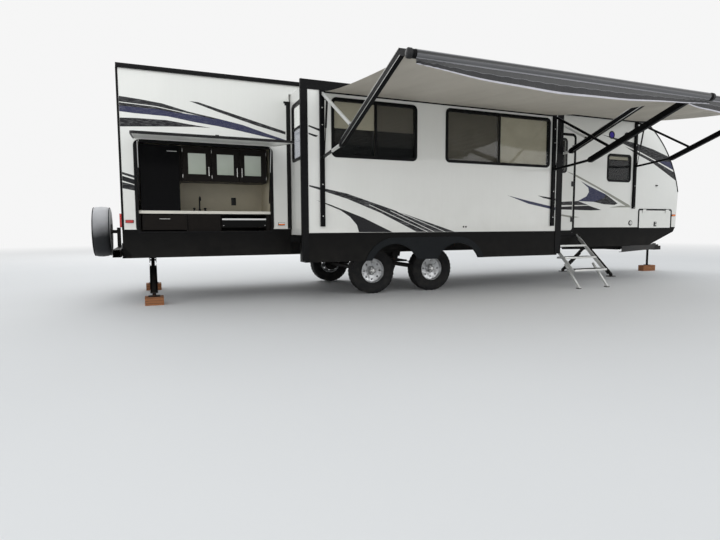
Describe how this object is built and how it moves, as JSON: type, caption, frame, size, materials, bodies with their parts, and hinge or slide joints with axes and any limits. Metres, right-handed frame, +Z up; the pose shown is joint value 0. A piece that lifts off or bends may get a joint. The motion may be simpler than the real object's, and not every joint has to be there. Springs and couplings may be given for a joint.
{
  "type": "travel trailer",
  "caption": "Towable caravan body with a slide-out room, outdoor kitchen under a lifting lid, roll-out awnings, entry steps, tandem wheels and an A-frame hitch.",
  "frame": {"origin": "centre of the whole part's box, on the ground", "axes": "+X forward to the hitch, +Y to the far side away from the entry door, +Z up"},
  "size_m": [12.0269, 5.658, 3.4],
  "materials": {
    "shell_white": "glossy white laminate with dark stripes",
    "skirt_black": "glossy black moulding",
    "trim_black": "satin black trim",
    "chassis_paint": "black chassis paint",
    "axle_paint": "black paint",
    "floor_board": "plywood floor",
    "timber": "rough timber",
    "glass_tinted": "dark tinted glass",
    "dark_wood": "dark brown cabinet foil",
    "worktop_white": "pale worktop",
    "liner_beige": "beige lining",
    "fridge_black": "gloss black",
    "stainless": "brushed stainless steel",
    "alloy": "plain aluminium",
    "awning_metal": "black painted aluminium",
    "awning_cloth": "woven acrylic awning cloth",
    "cover_grey": "soft vinyl cover",
    "moulded_white": "moulded white plastic",
    "lamp_lens": "coloured lamp lens",
    "tyre": "black rubber",
    "rim_alloy": "silver wheel",
    "strut_black": "black paint"
  },
  "bodies": {
    "caravan": {"chassis_rails": "chassis_paint", "chassis_crossmembers": "chassis_paint", "tongue_arms": "chassis_paint", "tongue_fittings": "chassis_paint", "rear_bumper": "chassis_paint", "spare_wheel_cover": "cover_grey", "axles": "axle_paint", "leaf_springs": "axle_paint", "floor_deck": "floor_board", "wall_near": "shell_white", "wall_far": "shell_white", "wall_rear": "shell_white", "front_cap": "shell_white", "roof_shell": "shell_white", "skirt_panels": "skirt_black", "wall_frames": "trim_black", "window_glass": "glass_tinted", "kitchen_bay": "liner_beige", "kitchen_cabinets": "dark_wood", "kitchen_counter": "worktop_white", "roof_units": "moulded_white", "gas_bottle_cover": "moulded_white", "lamps": "lamp_lens", "support_blocks": "timber", "awning_front_frame": "awning_metal", "awning_front_canopy": "awning_cloth"},
    "slide_room": {"slide_front_wall": "shell_white", "slide_shell": "shell_white", "slide_flange": "trim_black", "slide_skirt": "skirt_black", "slide_window_frames": "trim_black", "slide_window_glass": "glass_tinted", "awning_slide_frame": "awning_metal", "awning_slide_canopy": "awning_cloth"},
    "entry_door_leaf": {"entry_door": "shell_white", "entry_door_glass": "glass_tinted"},
    "baggage_door_leaf": {"baggage_door": "shell_white"},
    "kitchen_lid": {"kitchen_hatch": "shell_white"},
    "strut_tubes": {"hatch_strut_tubes": "strut_black"},
    "strut_rods": {"hatch_strut_rods": "stainless"},
    "steps": {"entry_steps": "alloy"},
    "tongue_jack": {"jack_leg": "alloy"},
    "fridge_leaf": {"fridge_door": "fridge_black"},
    "drawer": {"kitchen_drawer": "dark_wood"},
    "cooktop": {"cooktop_tray": "stainless"},
    "upper_door_a": {"cabinet_door_a": "dark_wood"},
    "upper_door_b": {"cabinet_door_b": "dark_wood"},
    "upper_door_c": {"cabinet_door_c": "dark_wood"},
    "wheel_rear_near": {"tyre_rear_near": "tyre", "rim_rear_near": "rim_alloy"},
    "leg_rear_near": {"stabiliser_rear_near": "chassis_paint"},
    "wheel_rear_far": {"tyre_rear_far": "tyre", "rim_rear_far": "rim_alloy"},
    "leg_rear_far": {"stabiliser_rear_far": "chassis_paint"},
    "wheel_front_near": {"tyre_front_near": "tyre", "rim_front_near": "rim_alloy"},
    "leg_front_near": {"stabiliser_front_near": "chassis_paint"},
    "wheel_front_far": {"tyre_front_far": "tyre", "rim_front_far": "rim_alloy"},
    "leg_front_far": {"stabiliser_front_far": "chassis_paint"}
  },
  "joints": [
    {"name": "wheel_rear_near_spin", "type": "hinge", "parent": "caravan", "child": "wheel_rear_near", "pos_m": [-1.9985, 0.5635, 0.36], "axis": [0, 1, 0], "continuous": true},
    {"name": "wheel_rear_far_spin", "type": "hinge", "parent": "caravan", "child": "wheel_rear_far", "pos_m": [-1.9985, 2.6185, 0.36], "axis": [0, 1, 0], "continuous": true},
    {"name": "wheel_front_near_spin", "type": "hinge", "parent": "caravan", "child": "wheel_front_near", "pos_m": [-0.9285, 0.5635, 0.36], "axis": [0, 1, 0], "continuous": true},
    {"name": "wheel_front_far_spin", "type": "hinge", "parent": "caravan", "child": "wheel_front_far", "pos_m": [-0.9285, 2.6185, 0.36], "axis": [0, 1, 0], "continuous": true},
    {"name": "room_slide", "type": "slide", "parent": "caravan", "child": "slide_room", "axis": [0, -1, 0], "range_m": [-0.63, 0]},
    {"name": "lid_hinge", "type": "hinge", "parent": "caravan", "child": "kitchen_lid", "pos_m": [0, 0.344, 2.199], "axis": [-1, 0, 0], "range_deg": [-83.5, 0]},
    {"name": "strut_lean", "type": "hinge", "parent": "caravan", "child": "strut_tubes", "pos_m": [0, 0.395, 1.4], "axis": [1, 0, 0], "range_deg": [-11.62, 0.02]},
    {"name": "strut_stroke", "type": "slide", "parent": "strut_tubes", "child": "strut_rods", "axis": [0, -0.2169, 0.9762], "range_m": [-0.08527, 0.0005]},
    {"name": "entry_door_hinge", "type": "hinge", "parent": "caravan", "child": "entry_door_leaf", "pos_m": [2.0075, 0.351, 0.93], "axis": [0, 0, 1], "range_deg": [0, 160]},
    {"name": "baggage_door_hinge", "type": "hinge", "parent": "caravan", "child": "baggage_door_leaf", "pos_m": [3.7115, 0.351, 1.377], "axis": [-1, 0, 0], "range_deg": [0, 165]},
    {"name": "steps_fold", "type": "hinge", "parent": "caravan", "child": "steps", "pos_m": [1.3515, 0.339, 0.893], "axis": [1, 0, 0], "range_deg": [-105, 0]},
    {"name": "jack_lift", "type": "slide", "parent": "caravan", "child": "tongue_jack", "axis": [0, 0, 1], "range_m": [0, 0.3]},
    {"name": "leg_rear_near_swing", "type": "hinge", "parent": "caravan", "child": "leg_rear_near", "pos_m": [-5.2185, 1.501, 0.562], "axis": [-1, 0, 0], "range_deg": [0, 21.2]},
    {"name": "leg_rear_far_swing", "type": "hinge", "parent": "caravan", "child": "leg_rear_far", "pos_m": [-5.2185, 1.681, 0.562], "axis": [1, 0, 0], "range_deg": [0, 21.2]},
    {"name": "leg_front_near_swing", "type": "hinge", "parent": "caravan", "child": "leg_front_near", "pos_m": [3.6715, 1.501, 0.562], "axis": [-1, 0, 0], "range_deg": [0, 36.8]},
    {"name": "leg_front_far_swing", "type": "hinge", "parent": "caravan", "child": "leg_front_far", "pos_m": [3.6715, 1.681, 0.562], "axis": [1, 0, 0], "range_deg": [0, 36.8]},
    {"name": "fridge_hinge", "type": "hinge", "parent": "caravan", "child": "fridge_leaf", "pos_m": [-5.3255, 0.433, 1.278], "axis": [0, 0, -1], "range_deg": [0, 88]},
    {"name": "upper_door_a_hinge", "type": "hinge", "parent": "caravan", "child": "upper_door_a", "pos_m": [-4.8065, 0.423, 1.68], "axis": [0, 0, -1], "range_deg": [0, 95]},
    {"name": "upper_door_b_hinge", "type": "hinge", "parent": "caravan", "child": "upper_door_b", "pos_m": [-4.4305, 0.423, 1.68], "axis": [0, 0, -1], "range_deg": [0, 95]},
    {"name": "upper_door_c_hinge", "type": "hinge", "parent": "caravan", "child": "upper_door_c", "pos_m": [-3.6825, 0.423, 1.68], "axis": [0, 0, 1], "range_deg": [0, 88]},
    {"name": "drawer_slide", "type": "slide", "parent": "caravan", "child": "drawer", "axis": [0, -1, 0], "range_m": [0, 0.38]},
    {"name": "cooktop_slide", "type": "slide", "parent": "caravan", "child": "cooktop", "axis": [0, -1, 0], "range_m": [-0.02, 0.38]}
  ],
  "couplings": [
    {"joint": "strut_lean", "follows": "lid_hinge", "ratio": 0.13893},
    {"joint": "strut_stroke", "follows": "lid_hinge", "m_per_rad": 0.058169}
  ]
}
